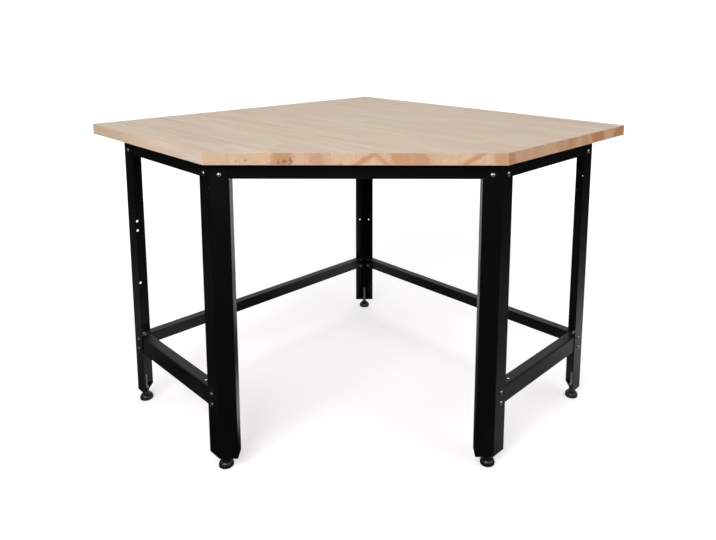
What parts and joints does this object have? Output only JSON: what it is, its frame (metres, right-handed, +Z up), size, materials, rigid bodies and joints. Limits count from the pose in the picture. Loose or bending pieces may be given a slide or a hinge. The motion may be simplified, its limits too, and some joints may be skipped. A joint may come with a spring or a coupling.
{
  "type": "corner workbench",
  "caption": "Corner workbench: a solid wood top with a diagonal front on a bolted black steel frame of folded legs, rails and stretchers with levelling feet.",
  "frame": {"origin": "on the floor, at the centre of the top's extents", "axes": "+X along the diagonal front edge to the user's right, +Y from the front to the back corner, +Z up"},
  "size_m": [1.6958, 1.3182, 0.875],
  "materials": {
    "beech_block": "oiled, fine sanded",
    "black_powder_coat": "satin powder coat",
    "zinc_steel": "bright zinc",
    "black_nylon": "semi gloss"
  },
  "bodies": {
    "bench": {"worktop": "beech_block", "front_rail": "black_powder_coat", "left_end_rail": "black_powder_coat", "right_end_rail": "black_powder_coat", "back_left_rail": "black_powder_coat", "back_right_rail": "black_powder_coat", "front_left_leg": "black_powder_coat", "front_right_leg": "black_powder_coat", "left_leg": "black_powder_coat", "right_leg": "black_powder_coat", "back_leg": "black_powder_coat", "left_side_stretcher": "black_powder_coat", "right_side_stretcher": "black_powder_coat", "back_left_stretcher": "black_powder_coat", "back_right_stretcher": "black_powder_coat", "front_left_foot_plate": "black_powder_coat", "front_right_foot_plate": "black_powder_coat", "left_foot_plate": "black_powder_coat", "right_foot_plate": "black_powder_coat", "back_foot_plate": "black_powder_coat", "foot_plate_nuts": "zinc_steel", "rail_bolts": "zinc_steel", "rail_bolt_nuts": "zinc_steel", "stretcher_bolts": "zinc_steel", "stretcher_bolt_nuts": "zinc_steel", "worktop_screws": "zinc_steel"},
    "front_left_glide": {"front_left_foot_glide": "black_nylon"},
    "front_left_stud": {"front_left_foot_stud": "zinc_steel", "front_left_foot_jam_nut": "zinc_steel"},
    "front_right_glide": {"front_right_foot_glide": "black_nylon"},
    "front_right_stud": {"front_right_foot_stud": "zinc_steel", "front_right_foot_jam_nut": "zinc_steel"},
    "left_glide": {"left_foot_glide": "black_nylon"},
    "left_stud": {"left_foot_stud": "zinc_steel", "left_foot_jam_nut": "zinc_steel"},
    "right_glide": {"right_foot_glide": "black_nylon"},
    "right_stud": {"right_foot_stud": "zinc_steel", "right_foot_jam_nut": "zinc_steel"},
    "back_glide": {"back_foot_glide": "black_nylon"},
    "back_stud": {"back_foot_stud": "zinc_steel", "back_foot_jam_nut": "zinc_steel"}
  },
  "joints": [
    {"name": "front_left_foot_slide", "type": "slide", "parent": "bench", "child": "front_left_glide", "axis": [0, 0, -1], "range_m": [0, 0.025]},
    {"name": "front_left_foot_turn", "type": "hinge", "parent": "front_left_glide", "child": "front_left_stud", "pos_m": [-0.35619, -0.61607, 0], "axis": [0, 0, -1], "range_deg": [0, 7200]},
    {"name": "front_right_foot_slide", "type": "slide", "parent": "bench", "child": "front_right_glide", "axis": [0, 0, -1], "range_m": [0, 0.025]},
    {"name": "front_right_foot_turn", "type": "hinge", "parent": "front_right_glide", "child": "front_right_stud", "pos_m": [0.35619, -0.61607, 0], "axis": [0, 0, -1], "range_deg": [0, 7200]},
    {"name": "left_foot_slide", "type": "slide", "parent": "bench", "child": "left_glide", "axis": [0, 0, -1], "range_m": [0, 0.025]},
    {"name": "left_foot_turn", "type": "hinge", "parent": "left_glide", "child": "left_stud", "pos_m": [-0.68589, -0.29349, 0], "axis": [0, 0, -1], "range_deg": [0, 7200]},
    {"name": "right_foot_slide", "type": "slide", "parent": "bench", "child": "right_glide", "axis": [0, 0, -1], "range_m": [0, 0.025]},
    {"name": "right_foot_turn", "type": "hinge", "parent": "right_glide", "child": "right_stud", "pos_m": [0.68589, -0.29349, 0], "axis": [0, 0, -1], "range_deg": [0, 7200]},
    {"name": "back_foot_slide", "type": "slide", "parent": "bench", "child": "back_glide", "axis": [0, 0, -1], "range_m": [0, 0.025]},
    {"name": "back_foot_turn", "type": "hinge", "parent": "back_glide", "child": "back_stud", "pos_m": [0, 0.3924, 0], "axis": [0, 0, -1], "range_deg": [0, 7200]}
  ],
  "couplings": [
    {"joint": "front_left_foot_slide", "follows": "front_left_foot_turn", "m_per_rad": 0.00019894},
    {"joint": "front_right_foot_slide", "follows": "front_right_foot_turn", "m_per_rad": 0.00019894},
    {"joint": "left_foot_slide", "follows": "left_foot_turn", "m_per_rad": 0.00019894},
    {"joint": "right_foot_slide", "follows": "right_foot_turn", "m_per_rad": 0.00019894},
    {"joint": "back_foot_slide", "follows": "back_foot_turn", "m_per_rad": 0.00019894}
  ]
}
